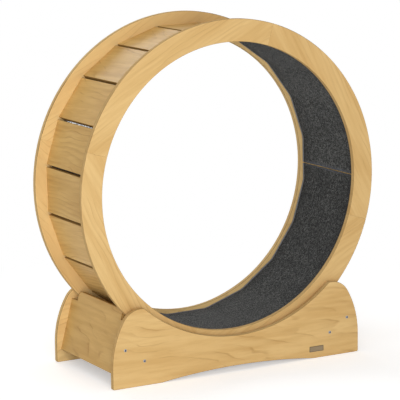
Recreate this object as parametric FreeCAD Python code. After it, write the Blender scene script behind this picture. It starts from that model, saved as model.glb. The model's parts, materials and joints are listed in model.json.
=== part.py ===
import FreeCAD, Part
import math
import os

from FreeCAD import Vector

# Cat exercise wheel, in millimetres. X runs along the base, Y along the drum's axis and
# Z up from the floor, with the origin on the floor under the middle of the drum.
#
# Twenty flat slats between two rims make the drum. Each rim is four quarter segments
# joined end to end, and two carpet mats line the slats. The rims run in four grooved
# rollers, held in channel brackets on two beams. Two side panels, the beams and two
# sloping end boards make the base.

# ---- Drum ---------------------------------------------------------------------------
wheel_diameter = 1000.0
ground_clearance = 53.7        # floor to the rims' lowest point
track_width = 294.0            # between the rims' inner faces

rim_width = 67.5               # measured along the radius
rim_thickness = 15.0
rim_edge_round = 1.5
rim_segment_count = 4
rim_joint_angle = 73.0         # of one joint, from +X towards +Z
rim_joint_gap = 0.3

slat_count = 20
slat_thickness = 15.0
slat_inset = 34.0              # rim's outer edge to the corners between slats
slat_gap = 4.0                 # between neighbouring slats, at their inner faces
slat_edge_round = 1.0
slot_angle = 100.0             # of one slot between slats, from +X towards +Z

carpet_thickness = 4.5
carpet_side_gap = 0.5          # carpet's edge to the rim
carpet_seam_gap = 4.0
carpet_seam_right = -1.0       # angle of one seam between the mats, from +X towards +Z
carpet_seam_left = 154.0       # angle of the other seam

# ---- Base ---------------------------------------------------------------------------
base_length = 853.0
panel_thickness = 15.0
panel_gap = 18.5               # rim's outer face to the panel
panel_height = 232.0           # to the top of the ears
panel_straight_height = 60.0   # upright part of each end
panel_side_radius = 272.0
panel_side_turn = 31.0         # degrees that the side curves before the ear's own curve
panel_rim_cover = 55.5         # how far the panel stands up in front of the rim
cradle_inset = 19.5            # how much smaller the cradle's radius is than the wheel's
ear_corner_radius = 12.0
foot_length = 161.5            # flat length on the floor at each end
foot_arch_rise = 16.8
foot_corner_radius = 5.0
panel_edge_round = 2.0

end_board_thickness = 15.0
end_board_slope = 15.0         # degrees from upright
end_board_foot_inset = 14.1    # panel's end to the board's lower outer edge
end_board_foot_height = 40.0
end_board_rise = 160.4         # along the slope, to the shoulders
end_tongue_rise = 30.0         # above the shoulders, between the rims
end_tongue_rim_gap = 3.5
end_tongue_corner_radius = 18.0
end_board_edge_round = 1.5
end_board_screw_rise = 78.7    # along the slope

beam_thickness = 15.0
beam_width = 85.0
beam_edge_round = 1.0

label_length = 50.0
label_height = 17.0
label_thickness = 1.0
label_corner_radius = 1.5
label_inset = 153.0            # panel's end to the label's middle
label_middle_height = 29.0

# ---- Rollers and their brackets -----------------------------------------------------
roller_inset = 135.7           # panel's end to each axle, along X
caster_height = 70.0           # beam to the rim's edge
rim_running_clearance = 0.3    # rim's edge to the bottom of the groove
roller_radius = 26.0
roller_groove_depth = 5.0
roller_groove_side_gap = 1.0   # each side of the rim
roller_flange_width = 4.0
roller_edge_round = 1.0

bearing_radius = 11.0
bearing_bore_radius = 4.0
bearing_width = 7.0
bearing_inner_race_radius = 6.0
bearing_race_gap = 0.3
bearing_outer_race_wall = 1.8
bearing_shield_recess = 0.4
bearing_shoulder = 2.0         # roller wall that stops each bearing

bracket_thickness = 2.0
bracket_length = 60.0
bracket_bend_radius = 3.0
bracket_ear_radius = 12.0
bracket_skirt_height = 9.0
bracket_screw_spacing = 40.0
axle_washer_thickness = 0.7

# ---- Fasteners ----------------------------------------------------------------------
fastener_fit = 0.05            # radial gap of a pin, screw or bearing in its hole

axle_head_radius = 7.0
axle_head_height = 4.5
axle_tip_length = 2.0          # beyond the nut
axle_nut_width = 13.0          # across the flats
axle_nut_height = 6.5

panel_screw_radius = 2.5
panel_screw_length = 45.0
panel_screw_tip = 6.0
panel_screw_head_radius = 4.6
panel_screw_head_height = 1.6
panel_screw_socket_width = 3.0
panel_screw_socket_depth = 1.2

bracket_screw_radius = 2.0
bracket_screw_length = 14.0
bracket_screw_head_radius = 3.8
bracket_screw_head_height = 2.4

dowel_radius = 4.0
dowel_end_gap = 0.5            # left at the bottom of each blind hole
slat_dowel_spacing = 90.0      # across each slat
slat_dowel_in_rim = 10.0
slat_dowel_in_slat = 20.0
rim_dowel_length = 50.0
rim_dowel_spacing = 27.5       # along the radius
base_dowel_in_panel = 10.0
base_dowel_in_board = 20.0
end_board_dowel_spacing = 100.0
beam_dowel_spacing = 56.0

# ---- Sizes that follow from those above ---------------------------------------------
wheel_radius = wheel_diameter / 2
centre_height = ground_clearance + wheel_radius
rim_inner_radius = wheel_radius - rim_width
rim_mid_radius = wheel_radius - rim_width / 2
rim_inner_y = track_width / 2
rim_mid_y = rim_inner_y + rim_thickness / 2
panel_inner_y = rim_inner_y + rim_thickness + panel_gap
panel_outer_y = panel_inner_y + panel_thickness

slat_pitch = 360.0 / slat_count
slat_half_pitch = math.radians(slat_pitch / 2)
slat_outer_apothem = (wheel_radius - slat_inset) * math.cos(slat_half_pitch)
slat_inner_apothem = slat_outer_apothem - slat_thickness
slat_mid_apothem = slat_outer_apothem - slat_thickness / 2
slat_width = 2 * slat_inner_apothem * math.tan(slat_half_pitch) - slat_gap

cradle_radius = wheel_radius - cradle_inset
cradle_centre_height = ground_clearance + panel_rim_cover + cradle_radius

groove_radius = roller_radius - roller_groove_depth
groove_width = rim_thickness + 2 * roller_groove_side_gap
roller_width = groove_width + 2 * roller_flange_width
roller_orbit = wheel_radius + rim_running_clearance + groove_radius
roller_spread = math.degrees(math.asin((base_length / 2 - roller_inset) / roller_orbit))
axle_to_beam = wheel_radius + caster_height - roller_orbit
bracket_gap = roller_width + 2 * axle_washer_thickness
bracket_outer_y = bracket_gap / 2 + bracket_thickness
hole_gap = 2 * fastener_fit

AROUND = Vector(0, -1, 0)      # turns +X towards +Z


# ---- Helpers ------------------------------------------------------------------------
def box(x, y, z):
    """A box from three (low, high) pairs."""
    size = [high - low for low, high in (x, y, z)]
    return Part.makeBox(*size, Vector(x[0], y[0], z[0]))


def rod(radius, start, end):
    """A cylinder from one point to another."""
    along = end - start
    return Part.makeCylinder(radius, along.Length, start, along)


def sleeve(inner, outer, low, high):
    """A tube around the Y axis, from one Y to another."""
    start, end = Vector(0, low, 0), Vector(0, high, 0)
    return rod(outer, start, end).cut(rod(inner, start, end))


def prism(points, low, high):
    """A polygon of (x, z) points, carried along Y from low to high."""
    corners = [Vector(x, low, z) for x, z in points]
    face = Part.Face(Part.makePolygon(corners + corners[:1]))
    return face.extrude(Vector(0, high - low, 0))


def hexagon(width, low, high):
    """A hexagonal prism around the Y axis; width is across the flats."""
    corner = width / math.sqrt(3)
    points = [polar(corner, 60 * k) for k in range(6)]
    return prism([(p.x, p.z) for p in points], low, high)


def polar(radius, angle, y=0.0):
    """A point around the Y axis, its angle in degrees from +X towards +Z."""
    turn = math.radians(angle)
    return Vector(radius * math.cos(turn), y, radius * math.sin(turn))


def turned(shape, angle):
    """A copy turned around the Y axis, from +X towards +Z."""
    copy = shape.copy()
    copy.rotate(Vector(), AROUND, angle)
    return copy


def raised(shape):
    """A copy of a drum piece, made around the origin, at the drum's real height."""
    return shape.translated(Vector(0, 0, centre_height))


def mirrored(shape, x_side, y_side):
    """A copy of a piece made for the right front corner, on the given sides."""
    copy = shape.copy()
    if x_side < 0:
        copy = copy.mirror(Vector(), Vector(1, 0, 0))
    if y_side > 0:
        copy = copy.mirror(Vector(), Vector(0, 1, 0))
    return copy


def runs_along(edge, direction):
    """Whether an edge is a straight one in the given direction."""
    if not isinstance(edge.Curve, (Part.Line, Part.LineSegment)):
        return False
    return edge.tangentAt(edge.FirstParameter).cross(direction).Length < 1e-6


def edges_across(solid, x, z):
    """A solid's edges along Y at (x, z), on the right and on the left."""
    found = []
    for edge in solid.Edges:
        middle = edge.BoundBox.Center
        if runs_along(edge, Vector(0, 1, 0)) and math.hypot(abs(middle.x) - x, middle.z - z) < 0.01:
            found.append(edge)
    return found


def cradle_corners(panel):
    """A panel's edges along Y where the cradle's arc meets its outline."""
    found = []
    for edge in panel.Edges:
        middle = edge.BoundBox.Center
        from_centre = math.hypot(middle.x, middle.z - cradle_centre_height)
        if runs_along(edge, Vector(0, 1, 0)) and abs(from_centre - cradle_radius) < 0.01:
            found.append(edge)
    return found


def against_panel(edge):
    """Whether an edge lies in the plane of a panel's inner face."""
    return abs(abs(edge.BoundBox.Center.y) - panel_inner_y) < 0.01


def is_round(edge):
    """Whether an edge is a circle or a part of one."""
    return isinstance(edge.Curve, Part.Circle)


def drilled(solid, holes):
    """The solid with every hole taken out of it."""
    return solid.cut(Part.makeCompound(holes))


def save(node, *solids):
    """Writes one node, which holds one solid or a group of them."""
    shape = solids[0] if len(solids) == 1 else Part.makeCompound(list(solids))
    shape.exportStep(os.path.join("parts", node + ".step"))


# ---- Drum pieces, made around the origin --------------------------------------------
def polygon_radius(apothem, angle):
    """Distance from the axis to a face of the slats' polygon, at an angle."""
    off_middle = (angle - slot_angle) % slat_pitch - slat_pitch / 2
    return apothem / math.cos(math.radians(off_middle))


def slat_angles():
    """The angle of each slat's middle."""
    return [slot_angle + slat_pitch * (k + 0.5) for k in range(slat_count)]


def slat_pegs(extra_radius, extra_length):
    """The pegs at both ends of a slat at angle 0, or the holes that take them."""
    pegs = []
    for side in (-1, 1):
        for offset in (-slat_dowel_spacing / 2, slat_dowel_spacing / 2):
            inner = side * (rim_inner_y - slat_dowel_in_slat - extra_length)
            outer = side * (rim_inner_y + slat_dowel_in_rim + extra_length)
            start = Vector(slat_mid_apothem, inner, offset)
            end = Vector(slat_mid_apothem, outer, offset)
            pegs.append(rod(dowel_radius + extra_radius, start, end))
    return pegs


def slat():
    """A flat board across the track, at angle 0."""
    half = slat_width / 2
    board = box((slat_inner_apothem, slat_outer_apothem), (-rim_inner_y, rim_inner_y), (-half, half))
    long_edges = [e for e in board.Edges if runs_along(e, Vector(0, 1, 0))]
    board = board.makeFillet(slat_edge_round, long_edges)
    return drilled(board, slat_pegs(fastener_fit, dowel_end_gap))


def rim_joint_angles():
    """The angle of each joint between rim segments."""
    return [rim_joint_angle + 360.0 / rim_segment_count * k for k in range(rim_segment_count)]


def rim_joint_pegs(angle, y, extra_radius, extra_length):
    """The two pegs across a rim joint, or the holes that take them."""
    half = rim_dowel_length / 2 + extra_length
    along = polar(1, angle + 90)
    pegs = []
    for offset in (-rim_dowel_spacing / 2, rim_dowel_spacing / 2):
        middle = polar(rim_mid_radius + offset, angle, y)
        pegs.append(rod(dowel_radius + extra_radius, middle - along * half, middle + along * half))
    return pegs


def rim_segment(start_angle, y_side):
    """A quarter of one rim, from a joint to the next."""
    gap_angle = math.degrees(rim_joint_gap / rim_mid_radius)
    low = y_side * rim_mid_y - rim_thickness / 2
    section = Part.makePlane(rim_width, rim_thickness, Vector(rim_inner_radius, low, 0))
    sweep = 360.0 / rim_segment_count - gap_angle
    segment = section.revolve(Vector(), AROUND, sweep)
    segment = segment.makeFillet(rim_edge_round, [e for e in segment.Edges if is_round(e)])
    segment = turned(segment, start_angle + gap_angle / 2)

    holes = []
    for angle in slat_angles():
        holes += [turned(hole, angle) for hole in slat_pegs(fastener_fit, dowel_end_gap)]
    for angle in rim_joint_angles():
        holes += rim_joint_pegs(angle, y_side * rim_mid_y, fastener_fit, dowel_end_gap)
    return drilled(segment, [h for h in holes if h.BoundBox.intersect(segment.BoundBox)])


def carpet_mat(start_angle, end_angle):
    """A mat on the slats' inner faces, from one seam to the next."""
    gap_angle = math.degrees(carpet_seam_gap / slat_inner_apothem)
    first, last = start_angle + gap_angle / 2, end_angle - gap_angle / 2
    slots = [slot_angle + slat_pitch * k for k in range(-slat_count, slat_count)]
    angles = [first] + [a for a in slots if first < a < last] + [last]
    points = [polar(polygon_radius(slat_inner_apothem, a), a) for a in angles]
    pile = slat_inner_apothem - carpet_thickness
    points += [polar(polygon_radius(pile, a), a) for a in reversed(angles)]
    half = rim_inner_y - carpet_side_gap
    return prism([(p.x, p.z) for p in points], -half, half)


def drum():
    """Writes the rims, slats, mats and the pegs that join them."""
    places = ("upper_left", "lower_left", "lower_right", "upper_right")
    for y_side, face in ((-1, "front"), (1, "rear")):
        for angle, place in zip(rim_joint_angles(), places):
            save("%s_rim_%s" % (face, place), raised(rim_segment(angle, y_side)))

    board = slat()
    for number, angle in enumerate(slat_angles(), 1):
        save("slat_%02d" % number, raised(turned(board, angle)))

    save("carpet_upper", raised(carpet_mat(carpet_seam_right, carpet_seam_left)))
    save("carpet_lower", raised(carpet_mat(carpet_seam_left, carpet_seam_right + 360)))

    pegs = slat_pegs(0, 0)
    save("slat_dowels", *[raised(turned(peg, angle)) for angle in slat_angles() for peg in pegs])
    joint_pegs = []
    for y_side in (-1, 1):
        for angle in rim_joint_angles():
            joint_pegs += rim_joint_pegs(angle, y_side * rim_mid_y, 0, 0)
    save("rim_dowels", *[raised(peg) for peg in joint_pegs])


# ---- Frames of the sloping boards, for the right side -------------------------------
def on_end_board(shape):
    """Moves a shape from the right end board's own frame into place.

    In that frame Z runs up the slope, and X is 0 on the outer face.
    """
    shape = shape.copy()
    shape.rotate(Vector(), Vector(0, 1, 0), -end_board_slope)
    foot_x = base_length / 2 - end_board_foot_inset
    return shape.translated(Vector(foot_x, 0, end_board_foot_height))


def on_caster(shape, y=0.0):
    """Moves a shape from a right roller's own frame into place.

    In that frame the axle is the Y axis, and Z points to the drum's centre.
    """
    shape = shape.translated(Vector(0, y, -roller_orbit))
    shape.rotate(Vector(), Vector(0, 1, 0), -roller_spread)
    return raised(shape)


def end_board_fixing(rise):
    """The frame position of a fixing in the end board's middle plane."""
    return on_end_board(Part.Vertex(-end_board_thickness / 2, 0, rise)).Point


def beam_fixing(offset):
    """The frame position of a fixing in the beam's middle plane."""
    middle = -axle_to_beam - beam_thickness / 2
    return on_caster(Part.Vertex(offset, 0, middle)).Point


def panel_screw_places():
    """Where the screws stand in a panel's right half."""
    return [end_board_fixing(end_board_screw_rise), beam_fixing(0)]


def base_dowel_places():
    """Where the pegs stand in a panel's right half."""
    half = end_board_dowel_spacing / 2
    board = [end_board_fixing(end_board_screw_rise + offset) for offset in (-half, half)]
    half = beam_dowel_spacing / 2
    return board + [beam_fixing(offset) for offset in (-half, half)]


def base_pegs(extra_radius, extra_length):
    """The pegs between front panel and boards on the right, or their holes."""
    pegs = []
    for place in base_dowel_places():
        start = Vector(place.x, -panel_inner_y - base_dowel_in_panel - extra_length, place.z)
        end = Vector(place.x, -panel_inner_y + base_dowel_in_board + extra_length, place.z)
        pegs.append(rod(dowel_radius + extra_radius, start, end))
    return pegs


def screw_holes():
    """The holes for the front panel's screws on the right."""
    holes = []
    for place in panel_screw_places():
        start = Vector(place.x, -panel_outer_y, place.z)
        end = start + Vector(0, panel_screw_length + dowel_end_gap, 0)
        holes.append(rod(panel_screw_radius + fastener_fit, start, end))
    return holes


def board_holes():
    """Every hole in the boards' ends, right side, both panels."""
    holes = base_pegs(fastener_fit, dowel_end_gap) + screw_holes()
    return holes + [mirrored(hole, 1, 1) for hole in holes]


# ---- Base pieces --------------------------------------------------------------------
def panel_half_outline():
    """Edges of a panel's right end, from the floor up to the top of the ear."""
    half = base_length / 2
    turn = math.radians(panel_side_turn)
    side_centre = Vector(half - panel_side_radius, 0, panel_straight_height)
    ear_start = side_centre + polar(panel_side_radius, panel_side_turn)
    ear_radius = (panel_height - ear_start.z) / (1 - math.sin(turn))
    ear_centre = ear_start - polar(ear_radius, panel_side_turn)

    corner = Vector(half, 0, 0)
    side_start = Vector(half, 0, panel_straight_height)
    side_middle = side_centre + polar(panel_side_radius, panel_side_turn / 2)
    ear_middle = ear_centre + polar(ear_radius, (panel_side_turn + 90) / 2)
    ear_top = Vector(ear_centre.x, 0, panel_height)
    return [
        Part.LineSegment(corner, side_start).toShape(),
        Part.Arc(side_start, side_middle, ear_start).toShape(),
        Part.Arc(ear_start, ear_middle, ear_top).toShape(),
    ]


def panel_blank():
    """A panel before its cradle and arch are cut, its outer face at Y 0."""
    right = panel_half_outline()
    left = [edge.mirror(Vector(), Vector(1, 0, 0)) for edge in right]
    low, high = right[0].BoundBox, right[-1].BoundBox
    floor = Part.LineSegment(Vector(-low.XMax, 0, 0), Vector(low.XMax, 0, 0)).toShape()
    top = Part.LineSegment(Vector(high.XMin, 0, high.ZMax), Vector(-high.XMin, 0, high.ZMax)).toShape()
    wire = Part.Wire(Part.__sortEdges__([floor, top] + right + left))
    return Part.Face(wire).extrude(Vector(0, panel_thickness, 0))


def side_panel():
    """The front panel, with its holes, in place."""
    low, high = Vector(0, -panel_thickness, 0), Vector(0, 2 * panel_thickness, 0)
    cradle_centre = Vector(0, 0, cradle_centre_height)
    half_span = base_length / 2 - foot_length
    arch_radius = (half_span ** 2 + foot_arch_rise ** 2) / (2 * foot_arch_rise)
    arch_centre = Vector(0, 0, foot_arch_rise - arch_radius)
    panel = panel_blank()
    panel = panel.cut(rod(cradle_radius, cradle_centre + low, cradle_centre + high))
    panel = panel.cut(rod(arch_radius, arch_centre + low, arch_centre + high))

    panel = panel.makeFillet(ear_corner_radius, cradle_corners(panel))
    panel = panel.makeFillet(foot_corner_radius, edges_across(panel, base_length / 2, 0))
    outline = [e for e in panel.Edges if not runs_along(e, Vector(0, 1, 0))]
    panel = panel.makeFillet(panel_edge_round, outline)

    panel = panel.translated(Vector(0, -panel_outer_y, 0))
    holes = base_pegs(fastener_fit, dowel_end_gap) + screw_holes()
    return drilled(panel, holes + [mirrored(hole, -1, -1) for hole in holes])


def end_board():
    """The right end board: full width to its shoulders, then a tongue between the rims."""
    tongue_y = rim_inner_y - end_tongue_rim_gap
    top = end_board_rise + end_tongue_rise
    thick = (-end_board_thickness, 0)
    tongue = box(thick, (-tongue_y, tongue_y), (0, top))
    corners = [e for e in tongue.Edges if runs_along(e, Vector(1, 0, 0)) and e.BoundBox.ZMin > top / 2]
    tongue = tongue.makeFillet(end_tongue_corner_radius, corners)
    board = box(thick, (-panel_inner_y, panel_inner_y), (0, end_board_rise)).fuse(tongue).removeSplitter()
    outer_face = max(board.Faces, key=lambda face: face.CenterOfMass.x)
    inner_face = min(board.Faces, key=lambda face: face.CenterOfMass.x)
    rounded = [e for face in (outer_face, inner_face) for e in face.Edges if not against_panel(e)]
    board = board.makeFillet(end_board_edge_round, rounded)
    return drilled(on_end_board(board), board_holes())


def beam():
    """The right beam, between the panels, that carries two roller brackets."""
    half = beam_width / 2
    low = -axle_to_beam - beam_thickness
    board = box((-half, half), (-panel_inner_y, panel_inner_y), (low, -axle_to_beam))
    long_edges = [e for e in board.Edges if runs_along(e, Vector(0, 1, 0))]
    board = on_caster(board.makeFillet(beam_edge_round, long_edges))
    pilots = [on_caster(hole, y) for hole in bracket_screw_holes() for y in (-rim_mid_y, rim_mid_y)]
    return drilled(board, board_holes() + pilots)


def panel_screw():
    """A screw along +Y, the underside of its domed head at Y 0."""
    shank = panel_screw_length - panel_screw_tip
    screw = rod(panel_screw_radius, Vector(), Vector(0, shank, 0))
    tip_radius = panel_screw_radius / 4
    shank_end = Vector(0, shank, 0)
    tip = Part.makeCone(panel_screw_radius, tip_radius, panel_screw_tip, shank_end, Vector(0, 1, 0))
    head = rod(panel_screw_head_radius, Vector(), Vector(0, -panel_screw_head_height, 0))
    rim = [e for e in head.Edges if is_round(e) and e.BoundBox.YMax < -panel_screw_head_height / 2]
    head = head.makeFillet(panel_screw_head_height * 0.8, rim)
    socket_floor = -panel_screw_head_height + panel_screw_socket_depth
    socket = hexagon(panel_screw_socket_width, -2 * panel_screw_head_height, socket_floor)
    return screw.fuse(tip).fuse(head).cut(socket).removeSplitter()


def label_plate():
    """The bare plate on the front panel."""
    half = label_length / 2
    x = base_length / 2 - label_inset
    low = label_middle_height - label_height / 2
    depth = (-panel_outer_y - label_thickness, -panel_outer_y)
    plate = box((x - half, x + half), depth, (low, low + label_height))
    corners = [e for e in plate.Edges if runs_along(e, Vector(0, 1, 0))]
    return plate.makeFillet(label_corner_radius, corners)


def base():
    """Writes the panels, boards, beams, label and what fastens them."""
    panel = side_panel()
    save("front_panel", panel)
    save("rear_panel", mirrored(panel, 1, 1))
    for x_side, side in ((-1, "left"), (1, "right")):
        save("%s_end_board" % side, mirrored(end_board(), x_side, -1))
        save("%s_roller_beam" % side, mirrored(beam(), x_side, -1))
    save("label_plate", label_plate())

    corners = [(x_side, y_side) for x_side in (-1, 1) for y_side in (-1, 1)]
    screws = [panel_screw().translated(Vector(place.x, -panel_outer_y, place.z))
              for place in panel_screw_places()]
    save("panel_screws", *[mirrored(screw, *corner) for corner in corners for screw in screws])
    pegs = base_pegs(0, 0)
    save("base_dowels", *[mirrored(peg, *corner) for corner in corners for peg in pegs])


# ---- Rollers, made in their own frame -----------------------------------------------
def roller():
    """A grooved roller with a seat for a bearing at each end."""
    half = roller_width / 2
    seat = half - bearing_width
    body = sleeve(bearing_radius - bearing_shoulder, roller_radius, -half, half)
    groove = sleeve(groove_radius, roller_radius + 1, -groove_width / 2, groove_width / 2)
    body = body.cut(groove)
    for low, high in ((-half, -seat), (seat, half)):
        body = body.cut(rod(bearing_radius, Vector(0, low, 0), Vector(0, high, 0)))
    flange_edges = [e for e in body.Edges if is_round(e) and e.Curve.Radius > roller_radius - 0.01]
    return body.makeFillet(roller_edge_round, flange_edges)


def bearing_spans():
    """The Y range of each bearing in a roller."""
    half = roller_width / 2
    return [(-half, -half + bearing_width), (half - bearing_width, half)]


def outer_races():
    """The bearings' outer races, each with its shields."""
    outer = bearing_radius - fastener_fit
    shield = bearing_inner_race_radius + bearing_race_gap
    races = []
    for low, high in bearing_spans():
        race = sleeve(shield, outer, low, high)
        land = outer - bearing_outer_race_wall
        for start, end in ((low, low + bearing_shield_recess), (high - bearing_shield_recess, high)):
            race = race.cut(sleeve(shield, land, start, end))
        races.append(race)
    return races


def inner_races():
    """The bearings' inner races, which stand still on the axle."""
    bore = bearing_bore_radius + fastener_fit
    return [sleeve(bore, bearing_inner_race_radius, low, high) for low, high in bearing_spans()]


def axle_spacers():
    """The sleeve between the inner races, and a washer outside each of them."""
    bore = bearing_bore_radius + fastener_fit
    half = roller_width / 2
    inside = half - bearing_width
    spans = [(-bracket_gap / 2, -half), (-inside, inside), (half, bracket_gap / 2)]
    return [sleeve(bore, bearing_inner_race_radius, low, high) for low, high in spans]


def axle_bolt():
    """The bolt that a roller turns on, its head towards the panel (-Y)."""
    head_inner = -bracket_outer_y
    tip = bracket_outer_y + axle_nut_height + axle_tip_length
    shank = rod(bearing_bore_radius, Vector(0, head_inner, 0), Vector(0, tip, 0))
    head = rod(axle_head_radius, Vector(0, head_inner, 0), Vector(0, head_inner - axle_head_height, 0))
    rim = [e for e in head.Edges if is_round(e) and e.BoundBox.YMax < head_inner - axle_head_height / 2]
    return shank.fuse(head.makeFillet(axle_head_height * 0.6, rim))


def axle_nut():
    """The nut on the bolt's other end."""
    low = bracket_outer_y
    nut = hexagon(axle_nut_width, low, low + axle_nut_height)
    bore = bearing_bore_radius + fastener_fit
    return nut.cut(rod(bore, Vector(0, low, 0), Vector(0, low + axle_nut_height, 0)))


def bent_block(half_length, half_width, low, bend_radius):
    """A block up to a bracket's ears, the two long edges at its foot rounded."""
    block = box((-half_length, half_length), (-half_width, half_width), (low, bracket_ear_radius))
    bends = [e for e in block.Edges if runs_along(e, Vector(1, 0, 0)) and e.BoundBox.ZMax < 0]
    return block.makeFillet(bend_radius, bends)


def bracket():
    """A channel bracket: a foot on the beam and a cheek each side of the roller."""
    half = bracket_length / 2
    foot = -axle_to_beam
    floor = foot + bracket_thickness
    channel = bent_block(half, bracket_outer_y, foot, bracket_bend_radius)
    channel = channel.cut(bent_block(half, bracket_gap / 2, floor, bracket_bend_radius - bracket_thickness))

    skirt = foot + bracket_skirt_height
    ear = bracket_ear_radius
    outline = prism([(-half, foot), (half, foot), (half, skirt), (ear, 0), (-ear, 0), (-half, skirt)],
                    -bracket_outer_y, bracket_outer_y)
    across = Vector(0, bracket_outer_y, 0)
    outline = outline.fuse(rod(ear, -across, across))
    holes = [rod(bearing_bore_radius + fastener_fit, -across, across)] + bracket_screw_holes()
    return drilled(channel.common(outline).removeSplitter(), holes)


def bracket_screw_spots():
    """Where a bracket's screws stand along its foot."""
    return (-bracket_screw_spacing / 2, bracket_screw_spacing / 2)


def bracket_screw_holes():
    """The holes for a bracket's screws, through its foot and into the beam."""
    top = -axle_to_beam + bracket_thickness
    depth = Vector(0, 0, -bracket_screw_length - dowel_end_gap)
    radius = bracket_screw_radius + fastener_fit
    return [rod(radius, Vector(x, 0, top), Vector(x, 0, top) + depth) for x in bracket_screw_spots()]


def bracket_screws():
    """A bracket's screws, their heads on its foot."""
    top = -axle_to_beam + bracket_thickness
    screws = []
    for x in bracket_screw_spots():
        seat = Vector(x, 0, top)
        shank = rod(bracket_screw_radius, seat - Vector(0, 0, bracket_screw_length), seat)
        head = rod(bracket_screw_head_radius, seat, seat + Vector(0, 0, bracket_screw_head_height))
        half_up = top + bracket_screw_head_height / 2
        rim = [e for e in head.Edges if is_round(e) and e.BoundBox.ZMin > half_up]
        screws.append(shank.fuse(head.makeFillet(bracket_screw_head_height / 2, rim)))
    return screws


def casters():
    """Writes the four rollers with their bearings, brackets and fasteners."""
    shared = {
        "bearing_inner_races": inner_races(),
        "axle_spacers": axle_spacers(),
        "axle_bolts": [axle_bolt()],
        "axle_nuts": [axle_nut()],
        "bracket_screws": bracket_screws(),
    }
    groups = {node: [] for node in shared}
    for y_side, face in ((-1, "front"), (1, "rear")):
        for x_side, side in ((-1, "left"), (1, "right")):
            def placed(shape):
                return mirrored(on_caster(shape, -rim_mid_y), x_side, y_side)

            corner = "%s_%s" % (face, side)
            save("bracket_" + corner, placed(bracket()))
            save("roller_" + corner, placed(roller()))
            save("roller_bearings_" + corner, *[placed(race) for race in outer_races()])
            for node, solids in shared.items():
                groups[node] += [placed(solid) for solid in solids]
    for node, solids in groups.items():
        save(node, *solids)


os.makedirs("parts", exist_ok=True)
drum()
base()
casters()
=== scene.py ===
import json
import math

import bmesh
import bpy
from mathutils import Matrix, Vector


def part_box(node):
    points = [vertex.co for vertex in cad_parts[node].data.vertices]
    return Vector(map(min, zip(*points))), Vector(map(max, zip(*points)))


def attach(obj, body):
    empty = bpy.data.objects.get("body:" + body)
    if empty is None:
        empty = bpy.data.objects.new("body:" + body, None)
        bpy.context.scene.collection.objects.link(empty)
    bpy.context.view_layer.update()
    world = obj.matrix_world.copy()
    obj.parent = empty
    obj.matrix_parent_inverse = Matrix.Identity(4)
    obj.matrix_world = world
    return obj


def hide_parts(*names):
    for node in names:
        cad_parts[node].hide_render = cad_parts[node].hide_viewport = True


# Cat exercise wheel: the looks. Lengths are in metres, in the frame of the model:
# X along the base, Y along the drum's axis with the front at -Y, and Z up.
# Angles round the drum are in degrees, from +X towards +Z.

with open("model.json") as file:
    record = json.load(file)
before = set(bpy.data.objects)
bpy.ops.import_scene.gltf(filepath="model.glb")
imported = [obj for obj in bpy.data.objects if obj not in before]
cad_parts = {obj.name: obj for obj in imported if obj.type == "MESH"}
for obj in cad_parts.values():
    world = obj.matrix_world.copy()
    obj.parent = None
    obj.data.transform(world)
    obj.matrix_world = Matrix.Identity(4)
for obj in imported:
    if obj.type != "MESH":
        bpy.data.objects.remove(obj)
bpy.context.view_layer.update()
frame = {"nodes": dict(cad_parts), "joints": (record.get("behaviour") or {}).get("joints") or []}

HUB = Vector(frame["joints"][0]["pos_m"])       # the middle of the drum
ALONG_BASE = Vector((1, 0, 0))
AXLE = Vector((0, 1, 0))
UP = Vector((0, 0, 1))

RIM_MIDDLES = {"upper_right": 28, "upper_left": 118, "lower_left": 208, "lower_right": 298}
SLAT_COUNT = 20
SLAT_GRAIN_SLANT = 0.08         # sideways run of a slat's grain for each length along it

# ---- Wood ---------------------------------------------------------------------------
# Tones, 0 to 255: the pale streaks, the ground and the late wood of each kind of board.
FRONT_WOOD = (229, 193, 132), (213, 173, 111), (176, 132, 74)
# A lighter, paler copy of the front wood: painted light on the rear boards.
REAR_WOOD_PAINTED_LIGHT = (240, 206, 144), (230, 193, 132), (190, 147, 88)
# A deeper, warmer copy of the front wood: painted shade on the slats, end boards and beams.
DRUM_WOOD_PAINTED_SHADE = (230, 190, 119), (213, 170, 100), (176, 128, 66)

# Each board's seed: the first one of its kind, and the step to the next board.
RIM_SEEDS = {"front": 3.7, "rear": 14.7}
RIM_SEED_STEP = 2.3
PANEL_SEED_SHIFT = 67.3         # from the first rim seed of the same face
SLAT_SEED = 30
SLAT_SEED_STEP = 1.9
END_BOARD_SEED = 94.7
BEAM_SEED = 101
SIDE_SEED_STEP = 3.1            # from a board on the left to the one on the right

# Noise in the wood: its waves per metre along and across the grain, its place and its detail.
WOOD_STREAKS = {
    "heart depth": (1.8, 2.4, 0.0, 2.0),
    "heart side": (2.4, 3.0, 4.0, 2.0),
    "ring wander": (7.0, 30.0, 9.0, 2.0),
    "late share": (3.0, 24.0, 13.0, 2.0),
    "vein share": (6.0, 22.0, 33.0, 2.0),
    "water": (8.0, 85.0, 17.0, 3.0),
    "bands": (1.8, 22.0, 25.0, 2.0),
    "pores": (26.0, 640.0, 21.0, 3.0),
}
# The range of that noise over which each kind of streak comes in.
WOOD_RANGES = {
    "late share": (0.38, 0.66),
    "vein share": (0.50, 0.62),
    "water": (0.36, 0.64),
    "bands": (0.34, 0.66),
    "pores": (0.52, 0.78),
}
WOOD_STRENGTHS = {"water": 0.4, "bands": 0.6, "late": 0.24, "vein": 0.38, "pores": 0.22}

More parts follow.
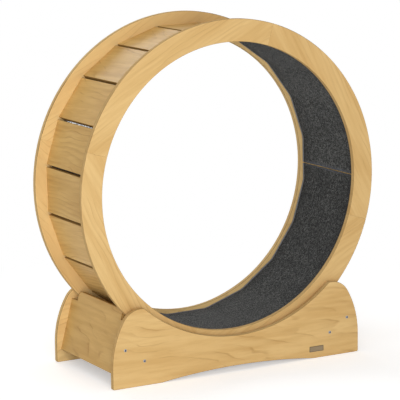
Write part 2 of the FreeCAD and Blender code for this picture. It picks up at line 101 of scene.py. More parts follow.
# Where in a ring, from 0 to 1, its late wood and its vein come in and go out.
LATE_WOOD = (0.30, 0.86), (0.88, 1.0)
VEIN = (0.76, 0.86), (0.88, 0.97)
RINGS_PER_METRE = 74.0
RING_WANDER = 1.3               # in rings
HEART_SLOPE = 0.10              # the heart's drift for each length along the board
HEART_DEPTH_WANDER = 0.14
HEART_SIDE_WANDER = 0.08
HEART_SHIFT = 0.02              # the least that is added to the heart's depth
HEART_SPREAD = 0.06             # how much more it may be, by the board's seed
EDGE_FACING = 0.10, 0.35        # how far a normal has the face's direction: on an edge, past it
ROUTED_FACING = 0.80, 0.97      # the same: on an edge or a rounding, and on the face
EDGE_TONE_AND_SHADE = 0.45               # of the late wood's tone: on edges a darker sawn tone with painted shade, on roundings painted shade
# How much darker the slats' wood is made: painted shade. The spread and the turn below vary the tone
# from slat to slat.
SLAT_PAINTED_SHADE = 0.94
SLAT_SHADE_SPREAD = 0.03
SLAT_SHADE_TURN = 2.4           # radians on a wave from each slat to the next

# ---- Felt ---------------------------------------------------------------------------
# Each mat: an angle just short of its first end, the seeds of its tufts and of its loose
# fibres, and how dark its felt is made, as painted shade that is deepest on the lower mat.
MATS = {
    "carpet_upper": {"start": -5, "tuft_seed": 6.5, "fibre_seed": 5, "felt_painted_shade": 0.95},
    "carpet_lower": {"start": 150, "tuft_seed": 22.0, "fibre_seed": 160, "felt_painted_shade": 0.68},
}
CARPET_THICKNESS = 0.0045
CARPET_LIFT = 0.0002            # between the slats and the mat's back
CARPET_BEND_RADIUS = 0.070      # where the mat bends over a slot
CARPET_STEP = 0.004             # between points along and across a mat
TUFT_HEIGHT = 0.0007
FINE_TUFTS = 150.0              # waves per metre
BROAD_TUFTS = 34.0
BROAD_TUFT_SHARE = 0.9          # of the height of the fine ones
TUFT_MIDDLE = 0.95              # the mean of both together
EDGE_WANDER = 0.0016            # how far a long edge strays inwards
WANDERING_EDGE = 0.13, 0.1465   # from the middle line: where the straying sets in and is full
EDGE_WAVES = 26.0               # per metre
CORNER_SHARE = 0.33             # a corner's radius, of the mat's thickness

FIBRE_LENGTH = 0.005
FIBRE_RADIUS = 0.0004           # at the root
FIBRE_TIP_RADIUS = 0.00005
FIBRE_SCALES = 0.5, 1.2         # the shortest and the longest, as shares of the length
FIBRE_UPRIGHT = 0.6             # how much a fibre's direction has of the face's own
FIBRE_LEAN = 0.8                # the most that is added to it, each way
FIBRES_ON_FACE = 26000.0        # per square metre
FIBRES_ON_END = 230000.0
RIGHT_END_SHARE = 0.2           # of that density, on the ends at the right
FIBRE_MARGIN = 0.010, 0.009     # from a long edge: fibres up to the first, none past the second

FELT_BLOTCHES = 17.0            # waves per metre
FELT_CLUMPS = 130.0
FELT_FLECKS = 230.0
HAIRS_ROUND = (420.0, 1700.0, 420.0)        # drawn out round the drum
HAIRS_ACROSS = (1700.0, 420.0, 1700.0)      # drawn out along the axle
FRAY_MIDDLE = 0.56              # about the mean of the greater of both
CLUMP_FRAY = 0.45               # how far the hairs fray the clumps' and the flecks' outlines
FLECK_FRAY = 0.70
FELT_GROUND = (19, 20, 19), (54, 54, 52)

# The layers over the felt's ground, from the bottom up: the pattern, the range of it over
# which the layer comes in, the layer's strength and its tone.
FELT_LAYERS = (
    ("clumps", 0.47, 0.57, 0.88, (102, 103, 100)),
    ("between clumps", 0.47, 0.57, 0.92, (8, 9, 9)),
    ("flecks", 0.54, 0.65, 0.90, (152, 153, 149)),
    ("between flecks", 0.52, 0.63, 0.85, (10, 11, 12)),
    ("flecks", 0.66, 0.73, 0.60, (204, 205, 202)),
    ("hairs", 0.50, 0.70, 0.25, (110, 111, 110)),
)
PAINTED_LIGHT_HEIGHTS = 0.08, 0.22       # above the floor: painted light up to the first, none past the second
PAINTED_SHADE_HEIGHTS = 0.72, 1.00       # where painted shade under the top of the drum sets in and is full
SEAM_STRIP = 0.004, 0.011       # from a seam: pale up to the first, not past the second
EDGE_HIGHLIGHT = 0.0105, 0.0075      # from a long edge: where its painted highlight sets in and is full
WIDE_EDGE_DARKENING = 0.070, 0.012      # the same, of the darker bands beside it
NARROW_EDGE_DARKENING = 0.022, 0.012

# ---- Fittings -----------------------------------------------------------------------
SCREW_APART = 0.012             # more than a head is wide, less than two screws are apart
SCREW_SOCKET_SHADE = 0.0024, 0.0034   # from a screw's axis: painted shade in the socket up to the first, bright head past the second
PLATE_EDGE = 0.0022, 0.0010     # from the plate's edge: where its darker band sets in and is full

# ---- Studio and camera --------------------------------------------------------------
FLOOR_REACH = 6
FLOOR_GLOW = 0.42               # added to its paint, for the camera alone
FLOOR_RUNOUT = 0.55, 1.5        # from the middle: where plain white sets in and is full
SURROUND_LIGHT = 0.5            # of what the camera sees, as light on the wheel

# Each lamp: its place, the point that it aims at, its side, and its power in watts.
LAMPS = {
    "key_lamp": ((-1.6, -3.3, 1.0), (0, 0, 0.5), 1.6, 60),
    "top_lamp": ((-0.8, 0.4, 4.4), (0, 0, 0.6), 2.6, 16),
    "back_lamp": ((0.1, 3.9, 2.7), (0, 0, 0.9), 2.2, 42),
}
CAMERA_PLACE = (-3.0407, -5.3609, 1.6240)
CAMERA_TURN = (29.403, 10.425, -0.707)      # degrees: from +Y towards +X, down, and roll
CAMERA_LENS = 185.4             # millimetres, as is the sensor
CAMERA_SENSOR = 36.0
CAMERA_REACH = 60.0


# ---- Places read from the frame -----------------------------------------------------
def middle(node):
    """The middle of a node's box."""
    low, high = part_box(node)
    return (low + high) / 2


def polar(angle):
    """The direction at an angle round the drum."""
    turn = math.radians(angle)
    return Vector((math.cos(turn), 0, math.sin(turn)))


def outward(node):
    """The direction from the drum's axis to the middle of a node."""
    place = middle(node) - HUB
    place.y = 0
    return place.normalized()


def angle_of(direction):
    """The angle of a direction round the drum."""
    return math.degrees(math.atan2(direction.z, direction.x))


def nearest(node, direction):
    """How near a node comes to the drum's middle along a direction."""
    return min((vertex.co - HUB).dot(direction) for vertex in frame["nodes"][node].data.vertices)


def swept(node, start):
    """The first and last angle of a node round the axis, from start up."""
    angles = []
    for vertex in frame["nodes"][node].data.vertices:
        angles.append(start + (angle_of(vertex.co - HUB) - start) % 360)
    return min(angles), max(angles)


def screw_places():
    """The (x, z) of each panel screw's axis. Front and rear screws share an axis."""
    screws = []
    for vertex in frame["nodes"]["panel_screws"].data.vertices:
        x, z = vertex.co.x, vertex.co.z
        near = [spots for spots in screws
                if math.hypot(spots[0][0] - x, spots[0][1] - z) < SCREW_APART]
        if near:
            near[0].append((x, z))
        else:
            screws.append([(x, z)])
    return [[sum(values) / len(spots) for values in zip(*spots)] for spots in screws]


# ---- Node trees, written as expressions ---------------------------------------------
class Value:
    """A node's output, whose operators add Math nodes."""

    def __init__(self, graph, socket):
        self.graph = graph
        self.socket = socket

    def output(self, name):
        """Another output of the same node."""
        return Value(self.graph, self.socket.node.outputs[name])

    def outputs(self, *names):
        """More outputs of the same node."""
        return [self.output(name) for name in names]

    def math(self, operation, *others):
        return self.graph.node("ShaderNodeMath", [self, *others], operation=operation)

    def __add__(self, other):
        return self.math("ADD", other)

    def __sub__(self, other):
        return self.math("SUBTRACT", other)

    def __mul__(self, other):
        return self.math("MULTIPLY", other)

    def __rsub__(self, other):
        return self.graph.node("ShaderNodeMath", [other, self], operation="SUBTRACT")

    def rise(self, low, high):
        """0 at low, 1 at high, and a smooth step between them."""
        return self.graph.node("ShaderNodeMapRange",
                               {"Value": self, "From Min": low, "From Max": high},
                               interpolation_type="SMOOTHSTEP")


class Graph:
    """A node tree under construction."""

    def __init__(self, tree):
        self.tree = tree
        tree.nodes.clear()

    def node(self, kind, inputs=(), out=0, **settings):
        """Adds a node: its settings first, then its inputs by number or by name."""
        node = self.tree.nodes.new(kind)
        for name, setting in settings.items():
            setattr(node, name, setting)
        pairs = inputs.items() if isinstance(inputs, dict) else enumerate(inputs)
        for key, value in pairs:
            if isinstance(value, Value):
                self.tree.links.new(value.socket, node.inputs[key])
            else:
                node.inputs[key].default_value = value
        return Value(self, node.outputs[out] if node.outputs else None)

    def vector(self, x, y, z):
        return self.node("ShaderNodeCombineXYZ", [x, y, z])

    def combine(self, operation, a, b):
        """A Vector Math node on two vectors."""
        return self.node("ShaderNodeVectorMath", [a, b], operation=operation)

    def scaled(self, vector, factor):
        return self.node("ShaderNodeVectorMath", {0: vector, "Scale": factor}, operation="SCALE")

    def dot(self, vector, direction):
        return self.node("ShaderNodeVectorMath", [vector, direction], out="Value",
                         operation="DOT_PRODUCT")

    def length(self, vector):
        return self.node("ShaderNodeVectorMath", [vector], out="Value", operation="LENGTH")

    def noise(self, vector, scale=1.0, detail=2.0, roughness=0.5):
        inputs = {"Vector": vector, "Scale": scale, "Detail": detail, "Roughness": roughness}
        return self.node("ShaderNodeTexNoise", inputs)

    def seen(self):
        """1 for what the camera sees, also in a mirror or through glass, and 0 for light."""
        camera_ray = self.node("ShaderNodeLightPath", out="Is Camera Ray")
        seen = camera_ray.math("MAXIMUM", camera_ray.output("Is Glossy Ray"))
        return seen.math("MAXIMUM", camera_ray.output("Is Transmission Ray"))


class Finish(Graph):
    """A material under construction, with one Principled shader."""

    def __init__(self, name):
        self.material = bpy.data.materials.new(name)
        self.material.use_nodes = True
        super().__init__(self.material.node_tree)
        self.place = self.node("ShaderNodeTexCoord", out="Object")

    def blend(self, factor, a, b):
        """The colour between a, at factor 0, and b, at factor 1."""
        return self.node("ShaderNodeMix", {0: factor, 6: a, 7: b}, out=2, data_type="RGBA")

    def bump(self, height, distance, strength):
        inputs = {"Height": height, "Distance": distance, "Strength": strength}
        return self.node("ShaderNodeBump", inputs)

    def shaded(self, inputs):
        """Joins the shader to the output, and gives the material."""
        shader = self.node("ShaderNodeBsdfPrincipled", inputs)
        self.node("ShaderNodeOutputMaterial", [shader])
        return self.material


def tone(rgb, shade=1.0):
    """A linear colour from 0 to 255 values, made lighter or darker by shade."""
    def linear(value):
        value /= 255
        return value / 12.92 if value <= 0.04045 else ((value + 0.055) / 1.055) ** 2.4
    return (*[linear(value) * shade for value in rgb], 1.0)


# ---- Finishes -----------------------------------------------------------------------
def lacquered_board(name, along, across, seed, tones, shade=1.0, figure=1.0,
                    edge_depth=0.25, arris_depth=0.6):
    """A board under satin lacquer, its growth rings cut nearly flat, grain along it.

    The figure is how strongly the grain shows. The depths are how dark the edges are, as
    a darker sawn tone with painted shade, and the roundings beside them, as painted shade.
    """
    m = Finish(name)
    pale, ground, deep = [tone(rgb, shade) for rgb in tones]
    along, across = Vector(along), Vector(across)
    face = along.cross(across)
    u = m.dot(m.place, along)
    v = m.dot(m.place, across)
    w = m.dot(m.place, face)

    def streaks(kind):
        """Noise drawn out along the grain, at another place for each seed."""
        along_scale, across_scale, place, detail = WOOD_STREAKS[kind]
        spot = m.vector(u * along_scale + (seed * 7.31 + place), v * across_scale + seed,
                        w * across_scale)
        return m.noise(spot, detail=detail)

    def share(kind):
        """Where a kind of streak shows, from 0 to 1."""
        return streaks(kind).rise(*WOOD_RANGES[kind])

    # The heart lies behind the face and drifts along the board, so rings run out in arches.
    shift = HEART_SHIFT + seed * 0.37 % 1.0 * HEART_SPREAD
    heart_depth = w + u * HEART_SLOPE + (streaks("heart depth") * HEART_DEPTH_WANDER + shift)
    heart_side = v + streaks("heart side") * HEART_SIDE_WANDER
    distance = m.length(m.vector(heart_depth, heart_side, 0.0))
    ring = (distance * RINGS_PER_METRE + streaks("ring wander") * RING_WANDER).math("FRACT")

    def within_ring(comes_in, goes_out):
        """1 in a part of each ring, and 0 outside it."""
        return ring.rise(*comes_in) * (1 - ring.rise(*goes_out))

    late = within_ring(*LATE_WOOD) * share("late share")
    vein = within_ring(*VEIN) * share("vein share")
    pores = streaks("pores")
    open_pores = pores.rise(*WOOD_RANGES["pores"])

    facing = m.dot(m.node("ShaderNodeTexCoord", out="Normal"), face).math("ABSOLUTE")
    edge = 1 - facing.rise(*EDGE_FACING)
    routed = 1 - facing.rise(*ROUTED_FACING)
    # The roundings beside the faces, which are darkened below as painted shade.
    arris = (1 - edge) * routed
    strength = WOOD_STRENGTHS
    light = share("water") * strength["water"] * figure + share("bands") * strength["bands"]
    wood = m.blend(light, ground, pale)
    wood = m.blend(late * strength["late"] * figure, wood, deep)
    wood = m.blend(vein * strength["vein"] * figure, wood, deep)
    wood = m.blend(open_pores * strength["pores"] * figure, wood, deep)
    # Painted shade on the roundings; on the edges a darker sawn tone together with painted shade.
    wood = m.blend(arris * arris_depth + edge * edge_depth, wood,
                   tone(tones[2], shade * EDGE_TONE_AND_SHADE))
    return m.shaded({
        "Base Color": wood,
        "Roughness": pores * 0.12 + routed * 0.42 + 0.32,
        "Normal": m.bump(pores * 0.6 + late * 0.4, distance=0.0003, strength=0.4),
        "Specular IOR Level": 0.13,
    })


def dowel_beech():
    """Bare turned beech, with short flecks along it."""
    m = Finish("dowel_beech")
    flecks = m.noise(m.combine("MULTIPLY", m.place, (620.0, 24.0, 620.0)), detail=3.0)
    wood = m.blend(flecks.rise(0.4, 0.7), tone((214, 180, 136)), tone((188, 148, 104)))
    return m.shaded({
        "Base Color": wood,
        "Roughness": flecks * 0.2 + 0.55,
        "Normal": m.bump(flecks, distance=0.0002, strength=0.4),
    })


def charcoal_felt(name, felt_painted_shade):
    """Needled felt: charcoal, mottled, with pale fibres, a painted highlight at its long edges and
    darker bands beside them.
    """
    m = Finish(name)
    blotches = m.noise(m.place, FELT_BLOTCHES, 3.0, 0.6).rise(0.36, 0.64)
    hairs = m.noise(m.combine("MULTIPLY", m.place, HAIRS_ROUND), detail=3.0, roughness=0.6)
    crossing = m.noise(m.combine("MULTIPLY", m.place, HAIRS_ACROSS), detail=3.0, roughness=0.6)
    fray = hairs.math("MAXIMUM", crossing) - FRAY_MIDDLE
    clumps = m.noise(m.place, FELT_CLUMPS, 2.0, 0.6) + fray * CLUMP_FRAY
    flecks = m.noise(m.place, FELT_FLECKS, 4.0, 0.66) + fray * FLECK_FRAY
    patterns = {
        "clumps": clumps,
        "between clumps": 1 - clumps,
        "flecks": flecks,
        "between flecks": 1 - flecks,
        "hairs": hairs,
    }
    dark, pale = FELT_GROUND
    # Painted shade: every tone of the felt is made darker by the mat's shade, most on the lower mat.
    felt = m.blend(blotches, tone(dark, felt_painted_shade), tone(pale, felt_painted_shade))
    for pattern, low, top, strength, rgb in FELT_LAYERS:
        felt = m.blend(patterns[pattern].rise(low, top) * strength, felt, tone(rgb, felt_painted_shade))
    felt = m.blend((1 - blotches) * 0.28, felt, tone((14, 15, 15)))

    # Painted light near the bottom of the drum, and painted shade under its top.
    height = m.dot(m.place, UP)
    felt = m.blend((1 - height.rise(*PAINTED_LIGHT_HEIGHTS)) * 0.12, felt, tone((128, 128, 124)))
    felt = m.blend(height.rise(*PAINTED_SHADE_HEIGHTS) * 0.35, felt, tone((12, 12, 12)))

    # A paler strip beside each seam.
    from_hub = m.combine("SUBTRACT", m.place, HUB)
    for angle in swept("carpet_upper", MATS["carpet_upper"]["start"]):
        strip = 1 - m.dot(from_hub, polar(angle + 90)).math("ABSOLUTE").rise(*SEAM_STRIP)
        this_side = m.dot(m.place, polar(angle)).rise(0.0, 0.1)
        felt = m.blend(strip * this_side * 0.45, felt, tone((96, 101, 112)))

    side = m.dot(m.place, AXLE).math("ABSOLUTE")
    _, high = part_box("carpet_upper")

    def beside_edge(far, near):
        """0 farther than far from a long edge of the mat, and 1 nearer than near."""
        return side.rise(high.y - far, high.y - near)

    # A painted highlight along each long edge of the mat.
    turn = beside_edge(*EDGE_HIGHLIGHT)
    # Darker felt in bands beside each long edge, except on the highlight.
    darker_by_edge = beside_edge(*WIDE_EDGE_DARKENING) * 0.35 + beside_edge(*NARROW_EDGE_DARKENING) * 0.35
    felt = m.blend(darker_by_edge * (1 - turn), felt, tone((14, 15, 17)))
    felt = m.blend(turn * 0.9, felt, tone((142, 147, 158)))
    return m.shaded({
        "Base Color": felt,
        "Roughness": 0.95,
        "Normal": m.bump(clumps * 0.5 + flecks * 0.35 + hairs * 0.15, distance=0.0030, strength=0.8),
        "Specular IOR Level": 0.2,
        "Sheen Weight": 0.12,
        "Sheen Roughness": 0.5,
    })


def felt_fibre():
    """The loose fibres on the felt, from charcoal to pale grey."""
    m = Finish("felt_fibre")
    lot = m.noise(m.place, 310.0, detail=1.0)
    return m.shaded({
        "Base Color": m.blend(lot.rise(0.35, 0.65), tone((40, 41, 42)), tone((138, 139, 138))),
        "Roughness": 0.9,
        "Specular IOR Level": 0.2,
    })


def roller_nylon():
    """Natural nylon with fine turning marks."""
    m = Finish("roller_nylon")
    marks = m.noise(m.combine("MULTIPLY", m.place, (90.0, 1400.0, 90.0)))
    return m.shaded({
        "Base Color": m.blend(marks, tone((208, 206, 196)), tone((226, 224, 216))),
        "Roughness": marks * 0.15 + 0.34,
        "Normal": m.bump(marks, distance=0.0001, strength=0.4),
        "Subsurface Weight": 0.05,
    })


def steel(name, rgb, roughness, spangle=500.0):
    """Plated or hardened steel with a fine mottle, whose waves per metre are the spangle."""
    m = Finish(name)
    grain = m.noise(m.place, spangle, detail=3.0)
    return m.shaded({
        "Base Color": m.blend(grain, tone(rgb, 0.78), tone(rgb)),
        "Metallic": 1.0,
        "Roughness": grain * 0.16 + roughness,
        "Normal": m.bump(grain, distance=0.0001, strength=0.25),
    })


def panel_screw_steel():
    """Bright heads with painted shade over each socket, at each screw's own place."""
    m = Finish("panel_screw_steel")
    grain = m.noise(m.place, 900.0, detail=3.0)
    away = 1.0                  # from the nearest screw's axis, and no more than this
    for x, z in screw_places():
        offset = m.combine("SUBTRACT", m.place, (x, 0.0, z))
        radius = m.length(m.combine("MULTIPLY", offset, (1, 0, 1)))
        away = radius.math("MINIMUM", away)
    head = m.blend(grain, tone((150, 152, 156)), tone((196, 198, 202)))
    return m.shaded({
        "Base Color": m.blend(away.rise(*SCREW_SOCKET_SHADE), tone((88, 92, 100)), head),
        "Metallic": 0.9,
        "Roughness": grain * 0.15 + 0.3,
        "Normal": m.bump(grain, distance=0.0001, strength=0.25),
    })


def label_enamel():
    """The bare plate's brushed taupe enamel, darker along its edges."""
    m = Finish("label_enamel")
    low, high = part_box("label_plate")
    offset = m.combine("SUBTRACT", m.place, (low + high) / 2)
    half = (high - low) / 2
    x = m.dot(offset, ALONG_BASE)
    z = m.dot(offset, UP)

    def beside_edge(place, half_size):
        """0 over the plate, and 1 beside the edges at both ends of a direction."""
        far, near = PLATE_EDGE
        return place.math("ABSOLUTE").rise(half_size - far, half_size - near)

    edge = beside_edge(x, half.x).math("MAXIMUM", beside_edge(z, half.z))
    brushed = m.noise(m.vector(x * 70.0, 0.0, z * 2200.0))
    enamel = m.blend(brushed, tone((138, 120, 92)), tone((154, 137, 108)))
    enamel = m.blend(edge * 0.75, enamel, tone((92, 74, 48)))
    return m.shaded({
        "Base Color": enamel,
        "Metallic": 0.3,
        "Roughness": brushed * 0.15 + 0.38,
        "Normal": m.bump(brushed, distance=0.0001, strength=0.3),
    })


def studio_floor():
    """A matt white floor that keeps the shadow, and runs out to plain white around it."""
    m = Finish("studio_floor")
    white = (1, 1, 1, 1)
    speck = m.blend(m.noise(m.place, 4.0), tone((236, 236, 236)), tone((240, 240, 240)))
    paint = m.node("ShaderNodeBsdfDiffuse", [speck])
    seen = m.seen()
    glow = m.node("ShaderNodeEmission", [white, seen * FLOOR_GLOW])
    near = m.node("ShaderNodeAddShader", [paint, glow])
    far = m.node("ShaderNodeEmission", [white, 1.0])
    runout = m.length(m.place).rise(*FLOOR_RUNOUT) * seen
    m.node("ShaderNodeOutputMaterial", [m.node("ShaderNodeMixShader", [runout, near, far])])
    return m.material


# ---- Finishes on the CAD nodes ------------------------------------------------------
def cover(node, material):
    """Gives a CAD node the material in every slot."""
    materials = frame["nodes"][node].data.materials
    if not len(materials):
        materials.append(material)
    for number in range(len(materials)):
        materials[number] = material


def cover_board(node, *wood, **looks):
    """Gives a board its own piece of wood."""
    cover(node, lacquered_board(node + "_wood", *wood, **looks))


def cover_woods():
    """Every board in its own piece of wood, with the grain along it."""
    # The rear boards take the lighter copy of the wood as painted light, and their roundings are
    # darker than the front's, as painted shade.
    for face, tones, arris_depth in (("front", FRONT_WOOD, 0.6), ("rear", REAR_WOOD_PAINTED_LIGHT, 0.9)):
        first_seed = RIM_SEEDS[face]
        for number, (place, angle) in enumerate(RIM_MIDDLES.items()):
            cover_board("%s_rim_%s" % (face, place), polar(angle + 90), polar(angle),
                        first_seed + RIM_SEED_STEP * number, tones,
                        figure=0.75, arris_depth=arris_depth)
        cover_board(face + "_panel", ALONG_BASE, UP, first_seed + PANEL_SEED_SHIFT, tones,
                    arris_depth=arris_depth)
    # The slats take the deeper copy of the wood, made darker still, and darker edges beside the
    # slots, all as painted shade.
    for number in range(1, SLAT_COUNT + 1):
        node = "slat_%02d" % number
        across = AXLE.cross(outward(node))
        cover_board(node, AXLE - across * SLAT_GRAIN_SLANT, across + AXLE * SLAT_GRAIN_SLANT,
                    SLAT_SEED + SLAT_SEED_STEP * number, DRUM_WOOD_PAINTED_SHADE,
                    shade=SLAT_PAINTED_SHADE + SLAT_SHADE_SPREAD * math.sin(number * SLAT_SHADE_TURN),
                    figure=1.2, edge_depth=0.6)
    # The end boards and the beams take the deeper copy of the wood, made darker still, as painted
    # shade.
    for number, side in enumerate(("left", "right")):
        shift = SIDE_SEED_STEP * number
        cover_board(side + "_end_board", AXLE, UP, END_BOARD_SEED + shift, DRUM_WOOD_PAINTED_SHADE, shade=0.90)
        node = side + "_roller_beam"
        cover_board(node, AXLE, AXLE.cross(outward(node)), BEAM_SEED + shift, DRUM_WOOD_PAINTED_SHADE,
                    shade=0.94)
    beech = dowel_beech()
    for node in ("slat_dowels", "rim_dowels", "base_dowels"):
        cover(node, beech)


def cover_running_gear():
    """Rollers, bearings, brackets, fasteners and the label plate."""
    zinc = steel("bracket_zinc", (196, 198, 202), 0.30, 160.0)
    fastener = steel("fastener_zinc", (184, 185, 188), 0.26)
    bearing = steel("bearing_steel", (196, 196, 200), 0.16)
    nylon = roller_nylon()
    for end in ("front_left", "front_right", "rear_left", "rear_right"):
        cover("roller_" + end, nylon)
        cover("roller_bearings_" + end, bearing)
        cover("bracket_" + end, zinc)
    cover("bearing_inner_races", bearing)
    for node in ("axle_bolts", "axle_nuts", "axle_spacers", "bracket_screws"):
        cover(node, fastener)
    cover("panel_screws", panel_screw_steel())
    cover("label_plate", label_enamel())


# ---- Carpet mats --------------------------------------------------------------------
def mat_line(node, start):
    """The line of a mat's middle layer: its two ends, and a corner over each slot.

    A slot within a degree of an end has no corner.
    """
    slat_angle = angle_of(outward("slat_01"))
    apothem = nearest("slat_01", outward("slat_01")) - CARPET_LIFT - CARPET_THICKNESS / 2
    pitch = 360 / SLAT_COUNT
    first, last = swept(node, start)
    slots = [slat_angle + pitch * (k + 0.5) for k in range(-SLAT_COUNT, 2 * SLAT_COUNT)]
    line = []
    for angle in [first] + [slot for slot in slots if first + 1 < slot < last - 1] + [last]:
        off_middle = (angle - slat_angle + pitch / 2) % pitch - pitch / 2
        line.append(HUB + polar(angle) * apothem / math.cos(math.radians(off_middle)))
    return line


def line_mesh(name, points):
    """A mesh of edges from each point to the next."""
    mesh = bpy.data.meshes.new(name)
    mesh.from_pydata(points, [(k, k + 1) for k in range(len(points) - 1)], [])
    return mesh


def new_tree(name, inputs, output):
    """A Geometry Nodes tree with named inputs, whose first input and output are geometry."""
    tree = bpy.data.node_groups.new(name, "GeometryNodeTree")
    for label, kind in inputs:
        tree.interface.new_socket(label, in_out="INPUT", socket_type="NodeSocket" + kind)
    tree.interface.new_socket(output, in_out="OUTPUT", socket_type="NodeSocketGeometry")
    return tree


def towards_axle(g, hub):
    """From a point straight towards the drum's axis."""
    here = g.node("GeometryNodeInputPosition")
    flat = g.combine("MULTIPLY", g.combine("SUBTRACT", hub, here), (1, 0, 1))
    return g.node("ShaderNodeVectorMath", [flat], operation="NORMALIZE")


def mat_tree():
    """Sweeps a mat's section along its line, then roughens its pile and its edges."""
    tree = new_tree("carpet_mat", (
        ("Line", "Geometry"), ("Width", "Float"), ("Thickness", "Float"),
        ("Bend Radius", "Float"), ("Step", "Float"), ("Pile Height", "Float"),
        ("Edge Wander", "Float"), ("Seed", "Float"), ("Hub", "Vector"), ("Felt", "Material"),
    ), "Mat")
    g = Graph(tree)
    line = g.node("NodeGroupInput", out="Line")
    width, thick, bend, step = line.outputs("Width", "Thickness", "Bend Radius", "Step")
    pile, wander, seed, hub = line.outputs("Pile Height", "Edge Wander", "Seed", "Hub")
    inwards = towards_axle(g, hub)

    path = g.node("GeometryNodeMeshToCurve", {"Mesh": line})
    path = g.node("GeometryNodeFilletCurve", {"Curve": path, "Count": 5, "Radius": bend},
                  mode="POLY")
    path = g.node("GeometryNodeResampleCurve", {"Curve": path, "Length": step}, mode="LENGTH")
    path = g.node("GeometryNodeSetCurveNormal", {"Curve": path, "Normal": inwards}, mode="FREE")
    section = g.node("GeometryNodeCurvePrimitiveQuadrilateral", {"Width": thick, "Height": width})
    section = g.node("GeometryNodeFilletCurve",
                     {"Curve": section, "Count": 2, "Radius": thick * CORNER_SHARE}, mode="POLY")
    section = g.node("GeometryNodeResampleCurve", {"Curve": section, "Length": step},
                     mode="LENGTH")
    mat = g.node("GeometryNodeCurveToMesh",
                 {"Curve": path, "Profile Curve": section, "Fill Caps": True})

    here = g.node("GeometryNodeInputPosition")
    seeded = g.combine("ADD", here, g.vector(seed, seed, seed))
    face = g.dot(g.node("GeometryNodeInputNormal"), inwards).rise(0.2, 0.8)
    tufts = g.noise(seeded, FINE_TUFTS) + g.noise(seeded, BROAD_TUFTS) * BROAD_TUFT_SHARE
    lift = g.scaled(inwards, (tufts - TUFT_MIDDLE) * pile * face)
    y = g.dot(here, AXLE)
    edge = y.math("ABSOLUTE").rise(*WANDERING_EDGE)
    round_drum = g.combine("MULTIPLY", seeded, (EDGE_WAVES, 0.0, EDGE_WAVES))
    ripple = g.noise(round_drum, detail=3.0)
    side = y.math("SIGN") * edge * ripple * wander * -1.0
    offset = g.combine("ADD", lift, g.vector(0.0, side, 0.0))
    mat = g.node("GeometryNodeSetPosition", {"Geometry": mat, "Offset": offset})
    mat = g.node("GeometryNodeRealizeInstances", [mat])
    mat = g.node("GeometryNodeSetShadeSmooth", {0: mat, "Shade Smooth": True})
    mat = g.node("GeometryNodeSetMaterial", {"Geometry": mat, "Material": line.output("Felt")})
    g.node("NodeGroupOutput", [mat])
    return tree


def pile_tree(fibre):
    """Stands loose fibres on a mat's face, and on its two cut ends at a density of their own."""
    tree = new_tree("carpet_pile", (
        ("Mat", "Geometry"), ("Length", "Float"), ("Radius", "Float"),
        ("Face Density", "Float"), ("End Density", "Float"), ("Right End Share", "Float"),
        ("Half Width", "Float"), ("Seed", "Int"), ("Hub", "Vector"),
    ), "Fibres")
    g = Graph(tree)
    mat = g.node("NodeGroupInput", out="Mat")
    length, radius, half, seed = mat.outputs("Length", "Radius", "Half Width", "Seed")
    on_face, on_end, right = mat.outputs("Face Density", "End Density", "Right End Share")

    here = g.node("GeometryNodeInputPosition")
    normal = g.node("GeometryNodeInputNormal")
    facing = g.dot(normal, towards_axle(g, mat.output("Hub")))
    face = facing.rise(0.4, 0.6)
    sideways = g.dot(normal, AXLE).math("ABSOLUTE").rise(0.4, 0.6)
    end = (1 - facing.math("ABSOLUTE").rise(0.4, 0.6)) * (1 - sideways)
    past_edge = g.dot(here, AXLE).math("ABSOLUTE") - half
    clear = 1 - past_edge.rise(-FIBRE_MARGIN[0], -FIBRE_MARGIN[1])
    on_right = g.dot(here, ALONG_BASE).rise(-0.1, 0.1)
    density = (face * on_face + end * on_end * (1 - on_right * (1 - right))) * clear
    points = g.node("GeometryNodeDistributePointsOnFaces",
                    {"Mesh": mat, "Density": density, "Seed": seed},
                    out="Points", distribute_method="RANDOM")

    stray = g.node("FunctionNodeRandomValue",
                   {0: [-FIBRE_LEAN] * 3, 1: [FIBRE_LEAN] * 3, "Seed": seed},
                   data_type="FLOAT_VECTOR")
    lean = g.combine("ADD", g.scaled(points.output("Normal"), FIBRE_UPRIGHT), stray)
    turn = g.node("FunctionNodeAlignRotationToVector", {"Vector": lean}, axis="Z")
    size = g.node("FunctionNodeRandomValue",
                  {2: FIBRE_SCALES[0], 3: FIBRE_SCALES[1], "Seed": seed},
                  out=1, data_type="FLOAT")
    shape = g.node("GeometryNodeMeshCone", {
        "Vertices": 3, "Radius Top": FIBRE_TIP_RADIUS, "Radius Bottom": radius, "Depth": length})
    fibres = g.node("GeometryNodeInstanceOnPoints", {
        "Points": points, "Instance": shape, "Rotation": turn, "Scale": size})
    fibres = g.node("GeometryNodeRealizeInstances", [fibres])
    fibres = g.node("GeometryNodeSetMaterial", {"Geometry": fibres, "Material": fibre})
    g.node("NodeGroupOutput", [fibres])
    return tree


def made_by(tree, name, mesh, **inputs):
    """The plain mesh that a tree makes from a mesh, with the tree's inputs by name."""
    source = bpy.data.objects.new(name, mesh)
    bpy.context.scene.collection.objects.link(source)
    modifier = source.modifiers.new(name, "NODES")
    modifier.node_group = tree
    keys = {}
    for item in tree.interface.items_tree:
        if item.in_out == "INPUT":
            keys[item.name] = item.identifier
    for key, value in inputs.items():
        modifier[keys[key.replace("_", " ").title()]] = value
    evaluated = source.evaluated_get(bpy.context.evaluated_depsgraph_get())
    result = bpy.data.meshes.new_from_object(evaluated)
    source.modifiers.remove(modifier)
    bpy.data.objects.remove(source)
    return result


def facing_out(mesh):
    """Merges a mesh's doubles and turns its faces outwards."""
    shape = bmesh.new()
    shape.from_mesh(mesh)
    bmesh.ops.remove_doubles(shape, verts=shape.verts, dist=1e-6)
    bmesh.ops.recalc_face_normals(shape, faces=shape.faces)
    shape.to_mesh(mesh)
    shape.free()
    return mesh


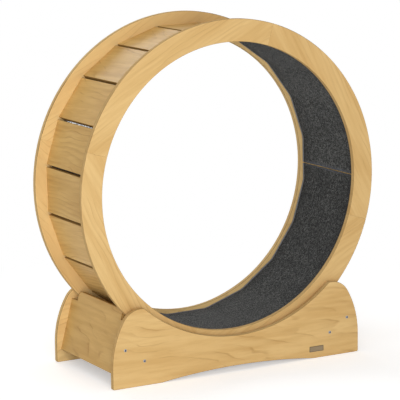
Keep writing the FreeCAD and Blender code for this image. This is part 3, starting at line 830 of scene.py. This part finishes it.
def carpet(node, start, tuft_seed, fibre_seed, felt_painted_shade):
    """Lays a felt mat with its loose fibres where the CAD node is."""
    line = mat_line(node, start)
    length = sum((b - a).length for a, b in zip(line, line[1:]))
    low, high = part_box(node)
    width = high.y - low.y
    mesh = made_by(MAT_TREE, node + "_felt", line_mesh(node + "_line", line),
                   width=width, thickness=CARPET_THICKNESS, bend_radius=CARPET_BEND_RADIUS,
                   step=CARPET_STEP, pile_height=TUFT_HEIGHT, edge_wander=EDGE_WANDER,
                   seed=tuft_seed, hub=HUB, felt=charcoal_felt(node + "_felt", felt_painted_shade))
    mat = bpy.data.objects.new(node + "_felt", facing_out(mesh))
    fibres = made_by(PILE_TREE, node + "_pile", mesh.copy(),
                     length=FIBRE_LENGTH, radius=FIBRE_RADIUS, half_width=width / 2,
                     face_density=FIBRES_ON_FACE, end_density=FIBRES_ON_END,
                     right_end_share=RIGHT_END_SHARE, seed=fibre_seed, hub=HUB)
    pile = bpy.data.objects.new(node + "_pile", fibres)
    for piece in (mat, pile):
        bpy.context.scene.collection.objects.link(piece)
        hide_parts(node)
        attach(piece, "wheel")


# ---- Studio -------------------------------------------------------------------------
def studio():
    """The floor, the lamps and the white surround."""
    mesh = bpy.data.meshes.new("floor")
    corners = [(x * FLOOR_REACH, y * FLOOR_REACH, 0)
               for x, y in ((-1, -1), (1, -1), (1, 1), (-1, 1))]
    mesh.from_pydata(corners, [], [(0, 1, 2, 3)])
    mesh.materials.append(studio_floor())
    floor = bpy.data.objects.new("floor", mesh)
    bpy.context.scene.collection.objects.link(floor)

    world = bpy.data.worlds.new("studio_surround")
    world.use_nodes = True
    bpy.context.scene.world = world
    g = Graph(world.node_tree)
    strength = g.seen() * (1 - SURROUND_LIGHT) + SURROUND_LIGHT
    glow = g.node("ShaderNodeBackground", {"Color": (1, 1, 1, 1), "Strength": strength})
    g.node("ShaderNodeOutputWorld", [glow])

    for name, (place, target, size, power) in LAMPS.items():
        lamp(name, place, target, size, power)


def lamp(name, place, target, size, power):
    """A square soft lamp aimed at a target."""
    light = bpy.data.lights.new(name, "AREA")
    light.size = size
    light.energy = power
    lamp_object = bpy.data.objects.new(name, light)
    lamp_object.location = place
    aim = Vector(target) - Vector(place)
    lamp_object.rotation_euler = aim.to_track_quat("-Z", "Y").to_euler()
    bpy.context.scene.collection.objects.link(lamp_object)


def camera():
    """The photograph's viewpoint."""
    yaw, pitch, roll = [math.radians(angle) for angle in CAMERA_TURN]
    ahead = Vector((math.sin(yaw) * math.cos(pitch), math.cos(yaw) * math.cos(pitch),
                    -math.sin(pitch)))
    level = Vector((math.cos(yaw), -math.sin(yaw), 0))
    upright = level.cross(ahead)
    right = level * math.cos(roll) + upright * math.sin(roll)
    up = upright * math.cos(roll) - level * math.sin(roll)
    data = bpy.data.cameras.new("camera")
    data.lens = CAMERA_LENS
    data.sensor_width = CAMERA_SENSOR
    data.clip_end = CAMERA_REACH
    viewer = bpy.data.objects.new("camera", data)
    viewer.matrix_world = Matrix((
        (right.x, up.x, -ahead.x, CAMERA_PLACE[0]),
        (right.y, up.y, -ahead.y, CAMERA_PLACE[1]),
        (right.z, up.z, -ahead.z, CAMERA_PLACE[2]),
        (0, 0, 0, 1),
    ))
    bpy.context.scene.collection.objects.link(viewer)
    bpy.context.scene.camera = viewer


cover_woods()
cover_running_gear()
MAT_TREE = mat_tree()
PILE_TREE = pile_tree(felt_fibre())
for node_name, mat_settings in MATS.items():
    carpet(node_name, **mat_settings)
studio()
camera()

bpy.context.scene.view_settings.view_transform = "Standard"
